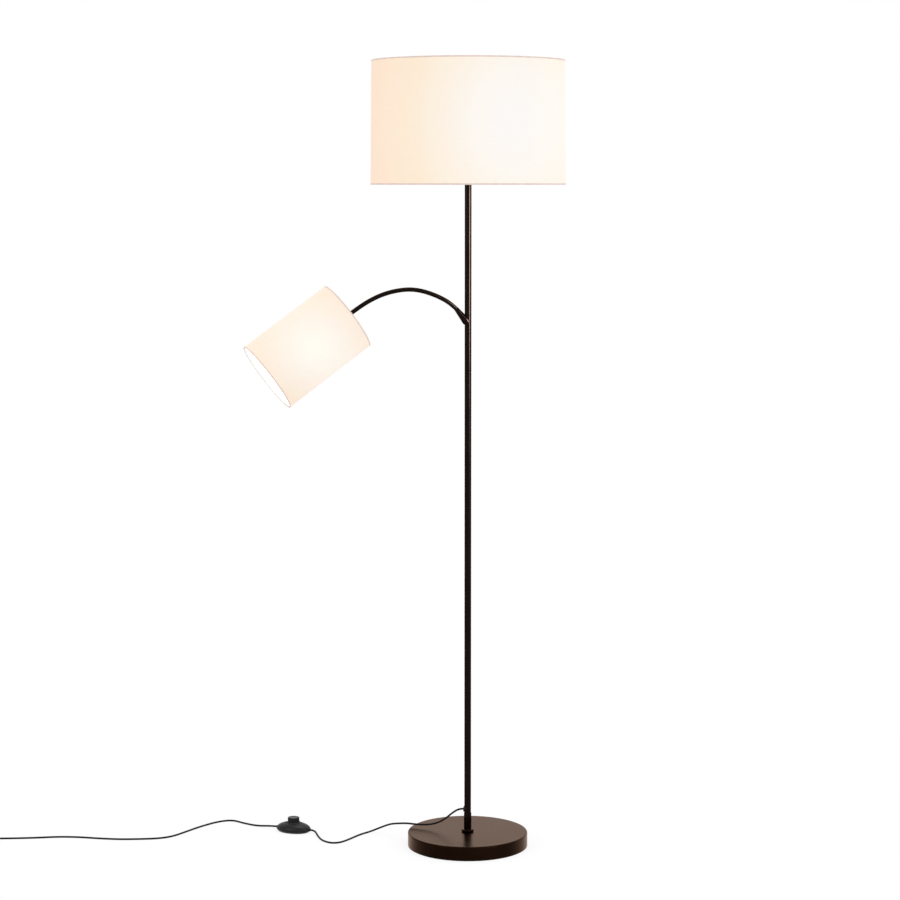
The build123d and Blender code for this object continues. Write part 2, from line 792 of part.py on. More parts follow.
def plug_pins():
    """The pins, turned down at their roots for the insulating sleeves."""
    pins = []
    for across in pin_places():
        tip = (plug_face() + pin_length, across, 0)
        pin = rod((plug_face(), across, 0), tip, pin_diameter / 2)
        pin = fillet(pin.edges().group_by(Axis.X)[-1], pin_diameter * 0.35)
        pins.append(pin - pin_sleeve(across, pin_diameter))
    return Compound(pins)


def plug_sleeves():
    return Compound([pin_sleeve(across, pin_diameter / 2) for across in pin_places()])


os.makedirs("parts", exist_ok=True)

for name, piece in (
    ("base_cover", base_cover), ("base_weight", base_weight), ("base_pad", base_pad),
    ("base_washer", base_washer), ("base_nut", base_nut), ("base_stud", base_stud),
    ("base_collar", base_collar), ("pole_foot_sleeve", foot_sleeve), ("pole_foot_insert", foot_insert),
    ("pole_lower", pole_lower), ("pole_upper", pole_upper), ("pole_top_insert", top_insert),
    ("pole_grommet", grommet), ("inner_lead", inner_lead), ("arm_branch", branch),
):
    save(name, piece())
save("pole_middle", pole_section(1))
save("pole_couplers", Compound([pole_coupler(0), pole_coupler(1)]))

points = arm_points()
for number, (start, end) in enumerate(zip(points, points[1:])):
    seated = number == len(arm_slopes) - 1
    save(f"arm_link_{number + 1:02d}", arm_link(start, end, seated))

lamp_head(
    "main",
    Pos(0, 0, pole_top),
    (main_cap_diameter, main_cap_height),
    (main_holder_diameter, main_flange_diameter, main_flange_drop),
    (main_ring_diameter, main_ring_height),
    (main_shade_entry_diameter, main_shade_far_diameter, main_shade_height,
     main_shade_reach, main_shade_wall, main_wire_diameter),
    (main_bulb_diameter, main_bulb_length, main_bulb_cap_diameter, main_bulb_cap_length),
    stud_diameter / 2 + fit_gap,
)
lamp_head(
    "reading",
    Plane(origin=points[-1], z_dir=points[-1] - points[-2]).location,
    (reading_cap_diameter, reading_cap_height),
    (reading_holder_diameter, reading_flange_diameter, reading_flange_drop),
    (reading_ring_diameter, reading_ring_height),
    (reading_shade_entry_diameter, reading_shade_far_diameter, reading_shade_height,
     reading_shade_reach, reading_shade_wall, reading_wire_diameter),
    (reading_bulb_diameter, reading_bulb_length, reading_bulb_cap_diameter, reading_bulb_cap_length),
    arm_bore / 2,
)

for name, piece in (
    ("switch_lower_housing", switch_lower), ("switch_upper_housing", switch_upper),
    ("switch_button", switch_button), ("switch_spring", switch_spring),
    ("switch_contacts", switch_contacts), ("switch_screws", switch_screws),
    ("switch_bushings", switch_bushings),
):
    save(name, switch_frame() * piece())

save("cord_to_switch", cord_to_switch())
save("cord_from_switch", cord_from_switch())
coil, coil_end = cord_coil()
save("cord_coil", coil)
plug_place = Pos(*coil_end) * Rot(0, 0, 180)
for name, piece in (("plug_body", plug_body), ("plug_pins", plug_pins), ("plug_pin_sleeves", plug_sleeves)):
    save(name, plug_place * piece())
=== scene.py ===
import json
import math

import bmesh
import bpy
from mathutils import Matrix, Vector

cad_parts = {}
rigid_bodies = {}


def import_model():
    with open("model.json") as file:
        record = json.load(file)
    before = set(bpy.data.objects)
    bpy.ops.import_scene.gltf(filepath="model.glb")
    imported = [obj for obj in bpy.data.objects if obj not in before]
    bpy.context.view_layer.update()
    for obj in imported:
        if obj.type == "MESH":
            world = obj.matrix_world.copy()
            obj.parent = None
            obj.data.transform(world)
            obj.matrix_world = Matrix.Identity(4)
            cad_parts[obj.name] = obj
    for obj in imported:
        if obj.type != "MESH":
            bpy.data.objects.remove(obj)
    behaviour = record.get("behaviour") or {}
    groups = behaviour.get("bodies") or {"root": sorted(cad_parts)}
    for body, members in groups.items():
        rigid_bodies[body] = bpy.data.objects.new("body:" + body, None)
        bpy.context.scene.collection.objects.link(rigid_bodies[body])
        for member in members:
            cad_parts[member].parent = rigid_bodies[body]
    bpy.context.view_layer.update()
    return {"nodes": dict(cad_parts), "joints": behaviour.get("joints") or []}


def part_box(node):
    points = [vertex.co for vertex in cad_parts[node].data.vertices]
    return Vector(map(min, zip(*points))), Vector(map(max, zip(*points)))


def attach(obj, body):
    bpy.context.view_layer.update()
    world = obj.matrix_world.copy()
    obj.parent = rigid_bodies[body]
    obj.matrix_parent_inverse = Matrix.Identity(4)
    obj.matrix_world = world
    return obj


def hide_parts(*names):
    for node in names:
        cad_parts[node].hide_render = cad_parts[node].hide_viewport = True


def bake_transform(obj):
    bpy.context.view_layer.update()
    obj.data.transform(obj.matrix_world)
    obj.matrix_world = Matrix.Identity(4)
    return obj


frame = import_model()
nodes = frame["nodes"]
print("frame loaded")

# camera, at the photograph's angle

cameraView = {
    "place": (-0.03720, -4.96298, 1.38854),
    "tiltDown": 0.110187,  # radians
    "lens": 96.26,
    "sensor": 36.0,
}
cameraData = bpy.data.cameras.new("viewCamera")
cameraData.lens = cameraView["lens"]
cameraData.sensor_width = cameraView["sensor"]
camera = bpy.data.objects.new("viewCamera", cameraData)
camera.location = cameraView["place"]
camera.rotation_euler = (math.pi / 2 - cameraView["tiltDown"], 0, 0)
bpy.context.scene.collection.objects.link(camera)
bpy.context.scene.camera = camera

# cords: control points of the route that the solids follow

leadSizes = {"diameter": 0.004, "bevelResolution": 5, "curveResolution": 10}
leadToSwitch = {
    "length": 0.466,
    "points": [
        (-0.008314, 0.001767, 0.0775), (-0.017117, 0.003638, 0.0775), (-0.032, 0.0073, 0.0678),
        (-0.046, 0.0115, 0.0544), (-0.06, 0.016, 0.045), (-0.076, 0.0205, 0.0392),
        (-0.093, 0.0255, 0.0367), (-0.111, 0.0315, 0.0361), (-0.129, 0.0405, 0.0359),
        (-0.146, 0.05, 0.033), (-0.165, 0.0755, 0.025), (-0.186, 0.091, 0.0132),
        (-0.208, 0.091, 0.004), (-0.23, 0.075, 0.002), (-0.249, 0.041, 0.002),
        (-0.268, 0.012, 0.002), (-0.287, 0.006, 0.002), (-0.3035, 0.02, 0.002),
        (-0.3135, 0.038, 0.0023), (-0.321, 0.0625, 0.004), (-0.32845, 0.0906, 0.0065),
        (-0.33777, 0.09422, 0.0065),
    ],
}
leadFromSwitch = {
    "length": 1.452,
    "points": [
        (-0.41143, 0.12278, 0.0065), (-0.42448, 0.12785, 0.0065), (-0.454, 0.1415, 0.0026),
        (-0.484, 0.163, 0.002), (-0.513, 0.192, 0.002), (-0.541, 0.181, 0.002),
        (-0.563, 0.158, 0.002), (-0.586, 0.128, 0.002), (-0.609, 0.091, 0.002),
        (-0.631, 0.0585, 0.002), (-0.658, 0.043, 0.002), (-0.697, 0.038, 0.002),
        (-0.741, 0.036, 0.002), (-0.786, 0.043, 0.002), (-0.831, 0.054, 0.002),
        (-0.876, 0.056, 0.002), (-0.92, 0.048, 0.002), (-0.963, 0.044, 0.002),
        (-1.006, 0.042, 0.002),
    ],
    "coilCentre": (-1.048, 0.014),
    "coilRadii": (
        0.028, 0.0257, 0.0234, 0.0211, 0.0188, 0.0165, 0.0188, 0.0211, 0.0234, 0.0257,
    ),
    "climbingTurn": 5,  # the half turn that goes up to the second layer
    "layers": (0.002, 0.0065),  # height of the line on the floor and on the first turns
    "pointsPerHalfTurn": 8,
    "end": (-1.075, 0.0374, 0.0065),  # in the plug
}


def coilPoints(lead):
    # half turns that wind in on the floor, climb, and wind out on top of the first ones
    centreX, y = lead["coilCentre"][0], lead["coilCentre"][1] + lead["coilRadii"][0]
    count = lead["pointsPerHalfTurn"]
    step = math.pi / count
    low, high = lead["layers"]
    points = []
    for number, radius in enumerate(lead["coilRadii"]):
        down = -1 if number % 2 == 0 else 1
        centreY = y + down * radius
        reach = radius / math.cos(step / 2)  # control points stand outside the curve
        for index in range(count):
            angle = step * (index + 0.5)
            height = low if number < lead["climbingTurn"] else high
            if number == lead["climbingTurn"]:
                height = low + (high - low) * (index + 0.5) / count
            across = reach * math.sin(angle) * down
            points.append((centreX + across, centreY - down * reach * math.cos(angle), height))
        y = centreY + down * radius
    return points


def makeLead(name, points):
    curve = bpy.data.curves.new(name, "CURVE")
    curve.dimensions = "3D"
    curve.bevel_depth = leadSizes["diameter"] / 2
    curve.bevel_resolution = leadSizes["bevelResolution"]
    curve.resolution_u = leadSizes["curveResolution"]
    curve.use_fill_caps = True
    spline = curve.splines.new("NURBS")
    spline.points.add(len(points) - 1)
    for point, place in zip(spline.points, points):
        point.co = (*place, 1)
    spline.order_u = 3
    spline.use_endpoint_u = True
    lead = bpy.data.objects.new(name, curve)
    bpy.context.scene.collection.objects.link(lead)
    return lead


coil = coilPoints(leadFromSwitch)
nearLead = makeLead("leadToSwitch", leadToSwitch["points"])
farLead = makeLead("leadFromSwitch", [*leadFromSwitch["points"], *coil, leadFromSwitch["end"]])
print("leads laid")

# helpers for meshes and materials

mergeDistance = 1e-6


def makeObject(name, mesh, material):
    piece = bpy.data.objects.new(name, mesh)
    bpy.context.scene.collection.objects.link(piece)
    mesh.materials.append(material)
    return piece


def finishMesh(bm, name, material, sharpAngle=40):
    # sharpAngle in degrees: edges over it stay crisp under smooth shading
    bmesh.ops.recalc_face_normals(bm, faces=bm.faces)
    mesh = bpy.data.meshes.new(name)
    bm.to_mesh(mesh)
    bm.free()
    mesh.shade_smooth()
    mesh.set_sharp_from_angle(angle=math.radians(sharpAngle))
    return makeObject(name, mesh, material)


def spinProfile(points, steps, closed=True):
    # a turned shape round the Z axis from (radius, height) points
    bm = bmesh.new()
    verts = [bm.verts.new((radius, 0, height)) for radius, height in points]
    pairs = list(zip(verts, verts[1:]))
    if closed:
        pairs.append((verts[-1], verts[0]))
    edges = [bm.edges.new(pair) for pair in pairs]
    bmesh.ops.spin(
        bm, geom=verts + edges, cent=(0, 0, 0), axis=(0, 0, 1),
        angle=math.tau, steps=steps, use_merge=True,
    )
    bmesh.ops.remove_doubles(bm, verts=bm.verts, dist=mergeDistance)
    return bm


def principled(name, colour, roughness, metallic=0.0, specular=0.5):
    material = bpy.data.materials.new(name)
    material.use_nodes = True
    shader = material.node_tree.nodes["Principled BSDF"]
    shader.inputs["Base Color"].default_value = (*colour, 1)
    shader.inputs["Roughness"].default_value = roughness
    shader.inputs["Metallic"].default_value = metallic
    shader.inputs["Specular IOR Level"].default_value = specular
    return material


def addNode(material, kind, **inputs):
    # material is a material or the world
    node = material.node_tree.nodes.new(kind)
    for name, value in inputs.items():
        node.inputs[name].default_value = value
    return node


def join(material, source, output, target, entry):
    material.node_tree.links.new(source.outputs[output], target.inputs[entry])


def addOperation(material, kind, operation, *sources):
    # a Math or Vector Math node with (node, output) pairs joined to its sockets in turn
    node = addNode(material, kind)
    node.operation = operation
    for entry, (source, output) in enumerate(sources):
        join(material, source, output, node, entry)
    return node


def addRamp(material, source, output, stops):
    # a colour ramp from (position, colour) stops
    ramp = addNode(material, "ShaderNodeValToRGB")
    elements = ramp.color_ramp.elements
    for position, _ in stops[1:-1]:
        elements.new(position)
    for element, (position, colour) in zip(elements, stops):
        element.position = position
        element.color = (*colour, 1)
    join(material, source, output, ramp, "Fac")
    return ramp


def shaderOf(material):
    return material.node_tree.nodes["Principled BSDF"]


def setGlow(material, colour, strength):
    shaderOf(material).inputs["Emission Color"].default_value = (*colour, 1)
    shaderOf(material).inputs["Emission Strength"].default_value = strength


surfaceNoise = {"cloudDetail": 4.0, "grainDetail": 3.0, "darkBelow": 0.35, "lightAbove": 0.65}


def addSurface(material, finish):
    # colour variation, roughness variation and a fine bump, all from object coordinates
    shader = shaderOf(material)
    coordinates = addNode(material, "ShaderNodeTexCoord")
    cloud = addNode(
        material, "ShaderNodeTexNoise", Scale=finish["cloudScale"], Detail=surfaceNoise["cloudDetail"]
    )
    join(material, coordinates, "Object", cloud, "Vector")
    colours = addRamp(material, cloud, "Fac", (
        (surfaceNoise["darkBelow"], finish["dark"]), (surfaceNoise["lightAbove"], finish["light"]),
    ))
    join(material, colours, "Color", shader, "Base Color")
    rough = addNode(material, "ShaderNodeMapRange")
    rough.inputs["To Min"].default_value, rough.inputs["To Max"].default_value = finish["roughness"]
    join(material, cloud, "Fac", rough, "Value")
    join(material, rough, "Result", shader, "Roughness")
    grain = addNode(
        material, "ShaderNodeTexNoise", Scale=finish["grainScale"], Detail=surfaceNoise["grainDetail"]
    )
    join(material, coordinates, "Object", grain, "Vector")
    bump = addNode(
        material, "ShaderNodeBump", Strength=finish["bump"], Distance=finish["bumpDepth"]
    )
    join(material, grain, "Fac", bump, "Height")
    join(material, bump, "Normal", shader, "Normal")
    return material


def makeFinish(name, finish):
    material = principled(
        name, finish["dark"], finish["roughness"][0], finish.get("metallic", 0.0),
        finish.get("specular", 0.5),
    )
    shader = shaderOf(material)
    shader.inputs["Specular Tint"].default_value = (*finish.get("specularTint", (1, 1, 1)), 1)
    shader.inputs["Sheen Weight"].default_value = finish.get("sheen", 0.0)
    shader.inputs["Sheen Tint"].default_value = (*finish.get("sheenTint", (1, 1, 1)), 1)
    shader.inputs["Sheen Roughness"].default_value = finish.get("sheenRoughness", 0.5)
    return addSurface(material, finish)


finishes = {
    "brownLacquer": {
        "dark": (0.0088, 0.0056, 0.0045), "light": (0.0114, 0.0076, 0.0063),
        "roughness": (0.17, 0.23), "cloudScale": 14.0, "grainScale": 900.0,
        "bump": 0.06, "bumpDepth": 0.0001, "metallic": 1.0, "specularTint": (0.46, 0.40, 0.37),
    },
    "brownPowder": {
        "dark": (0.0090, 0.0038, 0.0020), "light": (0.0125, 0.0056, 0.0032),
        "roughness": (0.25, 0.31), "cloudScale": 22.0, "grainScale": 1500.0,
        "bump": 0.08, "bumpDepth": 0.0001, "metallic": 1.0, "specularTint": (0.97, 0.80, 0.71),
    },
    "blackRubber": {
        "dark": (0.006, 0.006, 0.007), "light": (0.010, 0.010, 0.011),
        "roughness": (0.42, 0.52), "cloudScale": 60.0, "grainScale": 1800.0,
        "bump": 0.15, "bumpDepth": 0.0001, "specular": 0.2,
    },
    "leadSheath": {
        "dark": (0.0028, 0.0033, 0.0040), "light": (0.0045, 0.0052, 0.0062),
        "roughness": (0.32, 0.42), "cloudScale": 40.0, "grainScale": 1200.0,
        "bump": 0.15, "bumpDepth": 0.0001, "specular": 0.08,
    },
    "switchPlastic": {
        "dark": (0.0062, 0.0055, 0.0068), "light": (0.0085, 0.0077, 0.0094),
        "roughness": (0.34, 0.42), "cloudScale": 45.0, "grainScale": 1600.0,
        "bump": 0.25, "bumpDepth": 0.00015, "specular": 0.20,
        "sheen": 0.03, "sheenTint": (0.95, 0.95, 1.0), "sheenRoughness": 0.4,
    },
    "buttonPlastic": {
        "dark": (0.0060, 0.0055, 0.0062), "light": (0.0085, 0.0078, 0.0088),
        "roughness": (0.26, 0.32), "cloudScale": 60.0, "grainScale": 1600.0,
        "bump": 0.15, "bumpDepth": 0.0001, "specular": 0.16,
    },
    "whitePlastic": {
        "dark": (0.76, 0.74, 0.71), "light": (0.82, 0.81, 0.78),
        "roughness": (0.38, 0.48), "cloudScale": 30.0, "grainScale": 900.0,
        "bump": 0.1, "bumpDepth": 0.0001,
    },
    "whiteEnamel": {
        "dark": (0.80, 0.78, 0.75), "light": (0.88, 0.87, 0.85),
        "roughness": (0.26, 0.36), "cloudScale": 50.0, "grainScale": 800.0,
        "bump": 0.1, "bumpDepth": 0.0001,
    },
    "zincPlate": {
        "dark": (0.52, 0.51, 0.48), "light": (0.66, 0.65, 0.62),
        "roughness": (0.28, 0.42), "cloudScale": 90.0, "grainScale": 1400.0,
        "bump": 0.2, "bumpDepth": 0.0001, "metallic": 1.0,
    },
    "turnedBrass": {
        "dark": (0.55, 0.40, 0.18), "light": (0.70, 0.53, 0.26),
        "roughness": (0.24, 0.36), "cloudScale": 70.0, "grainScale": 1100.0,
        "bump": 0.2, "bumpDepth": 0.0001, "metallic": 1.0,
    },
    "castIron": {
        "dark": (0.06, 0.058, 0.055), "light": (0.12, 0.115, 0.11),
        "roughness": (0.60, 0.78), "cloudScale": 35.0, "grainScale": 500.0,
        "bump": 0.7, "bumpDepth": 0.0006, "metallic": 0.6,
    },
    "blackFelt": {
        "dark": (0.018, 0.018, 0.019), "light": (0.042, 0.042, 0.044),
        "roughness": (0.88, 0.98), "cloudScale": 160.0, "grainScale": 1400.0,
        "bump": 0.9, "bumpDepth": 0.0005,
    },
    "nickelPlate": {
        "dark": (0.64, 0.61, 0.55), "light": (0.78, 0.75, 0.69),
        "roughness": (0.14, 0.24), "cloudScale": 60.0, "grainScale": 900.0,
        "bump": 0.1, "bumpDepth": 0.0001, "metallic": 1.0,
    },
}
materials = {name: makeFinish(name, finish) for name, finish in finishes.items()}

# lit cloth, its lining and the bulbs


def addGlow(material, glow):
    # painted light of the lamp: the bulb's light through the cloth, as colours along the distance
    # from the brightest spot, the same on the front and on the back
    shader = shaderOf(material)
    coordinates = addNode(material, "ShaderNodeTexCoord")
    offset = addOperation(material, "ShaderNodeVectorMath", "SUBTRACT", (coordinates, "Object"))
    offset.inputs[1].default_value = glow["centre"]
    shape = addOperation(material, "ShaderNodeVectorMath", "MULTIPLY", (offset, "Vector"))
    shape.inputs[1].default_value = glow["falloff"]
    distance = addOperation(material, "ShaderNodeVectorMath", "LENGTH", (shape, "Vector"))
    ramp = addRamp(material, distance, "Value", glow["colours"])
    join(material, ramp, "Color", shader, "Emission Color")
    shader.inputs["Emission Strength"].default_value = glow["strength"]


def makeCloth(name, cloth):
    # warp and weft on the UV map, in metres, with a few thicker threads
    material = principled(name, cloth["colour"], cloth["roughness"], specular=cloth["specular"])
    shader = shaderOf(material)
    shader.inputs["Sheen Weight"].default_value = cloth["sheen"]
    uv = addNode(material, "ShaderNodeUVMap")
    uv.uv_map = "weave"
    threads = []
    for direction in ("X", "Y"):
        wave = addNode(
            material, "ShaderNodeTexWave", Scale=cloth["threadScale"], Distortion=cloth["unevenness"],
            Detail=cloth["threadDetail"],
        )
        wave.bands_direction = direction
        wave.inputs["Detail Scale"].default_value = cloth["threadDetailScale"]
        join(material, uv, "UV", wave, "Vector")
        threads.append((wave, "Fac"))
    crossing = addOperation(material, "ShaderNodeMath", "MAXIMUM", *threads)
    slubs = addNode(material, "ShaderNodeTexNoise", Scale=1.0, Detail=cloth["slubDetail"])
    stretch = addNode(material, "ShaderNodeMapping", Scale=cloth["slubScale"])
    join(material, uv, "UV", stretch, "Vector")
    join(material, stretch, "Vector", slubs, "Vector")
    weave = addOperation(
        material, "ShaderNodeMath", "MULTIPLY", (crossing, "Value"), (slubs, "Fac")
    )
    gapEnd, threadStart = cloth["tintRange"]
    tint = addRamp(
        material, weave, "Value", ((gapEnd, cloth["gapColour"]), (threadStart, cloth["colour"]))
    )
    join(material, tint, "Color", shader, "Base Color")
    bump = addNode(material, "ShaderNodeBump", Strength=cloth["bump"], Distance=cloth["bumpDepth"])
    join(material, weave, "Value", bump, "Height")
    join(material, bump, "Normal", shader, "Normal")
    addGlow(material, cloth["glow"])
    return material


mainCloth = {
    "colour": (0.57, 0.555, 0.54), "gapColour": (0.53, 0.51, 0.49), "roughness": 0.85,
    "specular": 0.05, "sheen": 0.15, "tintRange": (0.1, 0.45), "bump": 0.35, "bumpDepth": 0.0002,
    "threadScale": 380.0, "unevenness": 0.6, "threadDetail": 2.0, "threadDetailScale": 0.02,
    "slubScale": (40.0, 900.0, 1.0), "slubDetail": 3.0,
    "glow": {  # colours by distance from the centre, scaled by the falloff
        # painted light: the brightest spot stands 90 mm beside the bulb, so one side is painted
        # lighter and the other warmer, as the studio lamps light it
        "centre": (0.09, 0.0, 1.512), "falloff": (2.9, 0.0, 2.4), "strength": 1.0,
        "colours": (
            (0.0, (0.39, 0.375, 0.38)), (0.26, (0.40, 0.37, 0.32)), (0.38, (0.41, 0.34, 0.255)),
            (0.50, (0.42, 0.325, 0.20)), (0.62, (0.43, 0.292, 0.138)), (0.72, (0.43, 0.275, 0.125)),
            (0.80, (0.43, 0.250, 0.098)), (1.0, (0.40, 0.215, 0.085)),
        ),
    },
}
readingCloth = {
    **mainCloth,
    "glow": {
        "centre": (-0.301, 0.0, 1.057), "falloff": (8.4, 0.0, 9.0), "strength": 1.0,
        "colours": (
            (0.0, (0.43, 0.41, 0.345)), (0.20, (0.425, 0.40, 0.335)), (0.45, (0.415, 0.35, 0.275)),
            (0.75, (0.405, 0.30, 0.20)), (1.0, (0.40, 0.255, 0.125)),
        ),
    },
}
rimTape = {
    "dark": (0.57, 0.46, 0.41), "light": (0.65, 0.53, 0.48), "roughness": (0.6, 0.7),
    "cloudScale": 60.0, "grainScale": 1500.0, "bump": 0.3, "bumpDepth": 0.0002,
    "glow": (0.9, 0.66, 0.54), "glowStrength": 0.10,
}
materials["mainCloth"] = makeCloth("mainCloth", mainCloth)
materials["readingCloth"] = makeCloth("readingCloth", readingCloth)
materials["rimTape"] = makeFinish("rimTape", rimTape)
setGlow(materials["rimTape"], rimTape["glow"], rimTape["glowStrength"])

lamplight = {
    "shadeLining": {"colour": (1.0, 0.97, 0.92), "strength": 0.55},
    "opalGlobe": {"colour": (1.0, 0.95, 0.87), "strength": 1.0},
}
liningFinish = {
    "dark": (0.70, 0.69, 0.66), "light": (0.76, 0.75, 0.73), "roughness": (0.5, 0.6),
    "cloudScale": 25.0, "grainScale": 700.0, "bump": 0.1, "bumpDepth": 0.0001,
}
for name, light in lamplight.items():
    materials[name] = makeFinish(name, liningFinish)
    setGlow(materials[name], light["colour"], light["strength"])
print("materials made")

# CAD nodes that keep their shape

nodeFinishes = {
    "brownPowder": ["base_cover", "base_collar"],
    "brownLacquer": ["pole_foot_sleeve", "pole_lower", "pole_middle", "pole_upper"],
    "blackRubber": ["pole_grommet", "switch_bushings", "plug_body", "plug_pin_sleeves"],
    "leadSheath": ["inner_lead"],
    "castIron": ["base_weight"],
    "blackFelt": ["base_pad"],
    "zincPlate": ["base_washer", "base_nut", "base_stud", "switch_screws", "switch_spring"],
    "turnedBrass": ["pole_foot_insert", "pole_couplers", "pole_top_insert"],
    "switchPlastic": ["switch_contacts"],
    "nickelPlate": ["main_bulb_cap", "reading_bulb_cap", "plug_pins"],
    "whiteEnamel": [
        "main_shade_frame", "main_shade_hoop", "reading_shade_frame", "reading_shade_hoop",
    ],
    "whitePlastic": [
        "main_holder_cap", "main_holder_body", "main_shade_nut", "main_bulb_cone",
        "reading_holder_cap", "reading_holder_body", "reading_shade_nut", "reading_bulb_cone",
    ],
    "opalGlobe": ["main_bulb_globe", "reading_bulb_globe"],
}
for finishName, names in nodeFinishes.items():
    for name in names:
        nodes[name].data.materials.clear()
        nodes[name].data.materials.append(materials[finishName])

# flexible arm: a smooth sleeve in pieces, each curved over one joint

armSleeve = {
    "diameter": 0.009, "span": 0.0215, "yaw": math.radians(195.5), "paint": "brownLacquer",
    "firstSlope": math.radians(40), "lastSlope": math.radians(-36),
    "roundSegments": 40, "arcSteps": 10,
}
armJoints = [joint for joint in frame["joints"] if joint["name"].startswith("arm_")]


def slopeVector(slope):
    # the way an arm end points, at this slope above level
    level, yaw = math.cos(slope), armSleeve["yaw"]
    return Vector((level * math.cos(yaw), level * math.sin(yaw), math.sin(slope)))


armPlaces = [Vector(joint["pos_m"]) for joint in armJoints]
armStart = armPlaces[0] - slopeVector(armSleeve["firstSlope"]) * armSleeve["span"]
armEnd = armPlaces[-1] + slopeVector(armSleeve["lastSlope"]) * armSleeve["span"]
armPlaces = [armStart, *armPlaces, armEnd]
linkMiddles = [(before + after) / 2 for before, after in zip(armPlaces, armPlaces[1:])]
linkWays = [(after - before).normalized() for before, after in zip(armPlaces, armPlaces[1:])]


def sleeveRing(place, way):
    bm = bmesh.new()
    turn = way.to_track_quat("Z", "Y").to_matrix().to_4x4()
    bmesh.ops.create_circle(
        bm, segments=armSleeve["roundSegments"], radius=armSleeve["diameter"] / 2,
        cap_ends=False, matrix=Matrix.Translation(place) @ turn,
    )
    return bm


def closeEnds(bm):
    rims = [edge for edge in bm.edges if edge.is_boundary]
    bmesh.ops.holes_fill(bm, edges=rims, sides=armSleeve["roundSegments"])
    return bm


def straightSleeve(start, end):
    bm = sleeveRing(start, (end - start).normalized())
    grown = bmesh.ops.extrude_edge_only(bm, edges=bm.edges[:])
    moved = [part for part in grown["geom"] if isinstance(part, bmesh.types.BMVert)]
    bmesh.ops.translate(bm, verts=moved, vec=end - start)
    return closeEnds(bm)


def bentSleeve(number):
    start, way, nextWay = linkMiddles[number], linkWays[number], linkWays[number + 1]
    turn = way.angle(nextWay)
    axis = way.cross(nextWay).normalized()
    radius = armSleeve["span"] / 2 / math.tan(turn / 2)
    bm = sleeveRing(start, way)
    bmesh.ops.spin(
        bm, geom=bm.verts[:] + bm.edges[:], cent=start + axis.cross(way) * radius,
        axis=axis, angle=turn, steps=armSleeve["arcSteps"],
    )
    bmesh.ops.remove_doubles(bm, verts=bm.verts, dist=mergeDistance)
    return closeEnds(bm)


armPaint = materials[armSleeve["paint"]]
rootSleeve = finishMesh(straightSleeve(armStart, linkMiddles[0]), "armSleeveRoot", armPaint)
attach(rootSleeve, armJoints[0]["parent"])
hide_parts("arm_link_01")
for number, joint in enumerate(armJoints):
    sleeve = finishMesh(bentSleeve(number), f"armSleeve{number + 1:02d}", armPaint)
    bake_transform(sleeve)
    if number < len(armJoints) - 1:
        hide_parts(f"arm_link_{number + 2:02d}")
tipSleeve = finishMesh(straightSleeve(linkMiddles[-1], armEnd), "armSleeveTip", armPaint)
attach(tipSleeve, armJoints[-1]["child"])
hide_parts("arm_link_12")

branchCone = {
    "foot": (0, 0, 1.1024), "steps": 64,
    "outline": (  # radius, and distance from the foot
        (0.0072, 0.0), (0.0086, 0.006), (0.0079, 0.012), (0.0068, 0.020), (0.0057, 0.030),
    ),
    "tipRadius": 0.0047, "tipEdge": 0.0003, "tipRound": 0.0009, "tipCrown": 0.00036,
}


def makeBranch():
    # a tapered stub, welded to the pole and dressed smooth into the arm
    foot = Vector(branchCone["foot"])
    length = (armStart - foot).length
    tip, rounding = branchCone["tipRadius"], branchCone["tipRound"]
    end = length + branchCone["tipCrown"]
    profile = [
        (0, 0), *branchCone["outline"], (tip, length - rounding),
        (tip - branchCone["tipEdge"], length), (tip - rounding, end), (0, end),
    ]
    bm = spinProfile(profile, branchCone["steps"], closed=False)
    turn = (armStart - foot).to_track_quat("Z", "Y").to_matrix().to_4x4()
    bmesh.ops.transform(bm, verts=bm.verts, matrix=Matrix.Translation(foot) @ turn)
    piece = finishMesh(bm, "branchCone", armPaint)
    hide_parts("arm_branch")
    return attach(piece, "stand")


makeBranch()
print("arm made")

# shades

mainShade = {
    "name": "mainShade", "node": "main_shade", "body": "stand", "cloth": "mainCloth",
    "entryDiameter": 0.400, "farDiameter": 0.395, "height": 0.2515, "start": -0.008,
    "wall": 0.001, "tapeWidth": 0.0024, "tapeLift": 0.0004, "steps": 180, "rows": 16,
    "seamAngle": math.radians(95), "seamWidth": 0.012, "seamLift": 0.00025, "seamSteps": 6,
}
readingShade = {
    "name": "readingShade", "node": "reading_shade", "body": "reading_head",
    "cloth": "readingCloth",
    "entryDiameter": 0.151, "farDiameter": 0.1525, "height": 0.206, "start": -0.005,
    "wall": 0.0009, "tapeWidth": 0.0020, "tapeLift": 0.0005, "steps": 120, "rows": 12,
    "seamAngle": math.radians(60), "seamWidth": 0.010, "seamLift": 0.00025, "seamSteps": 6,
}
rimFold = {  # lifts in the tape's lift, clearance in its width, angle in degrees
    "edgeLift": 0.7, "foldLift": 0.4, "seamClearance": 1.2, "sharpAngle": 60,
}
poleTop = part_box("pole_upper")[1].z
mainPlace = Matrix.Translation((0, 0, poleTop))
headTurn = linkWays[-1].to_track_quat("Z", "Y").to_matrix().to_4x4()
readingPlace = Matrix.Translation(armEnd) @ headTurn


def shadeRadius(shade, along):
    entry, far = shade["entryDiameter"], shade["farDiameter"]
    return (entry + (far - entry) * along / shade["height"]) / 2


def placeOnHead(bm, shade, place):
    matrix = place @ Matrix.Translation((0, 0, shade["start"]))
    bmesh.ops.transform(bm, verts=bm.verts, matrix=matrix)


def paintWeave(bm, radius):
    # UV in metres: round the shade and along it
    layer = bm.loops.layers.uv.new("weave")
    for face in bm.faces:
        middle = face.calc_center_median()
        base = math.atan2(middle.y, middle.x)
        for loop in face.loops:
            offset = math.atan2(loop.vert.co.y, loop.vert.co.x) - base
            offset = (offset + math.pi) % math.tau - math.pi
            loop[layer].uv = ((base + offset) * radius, loop.vert.co.z)


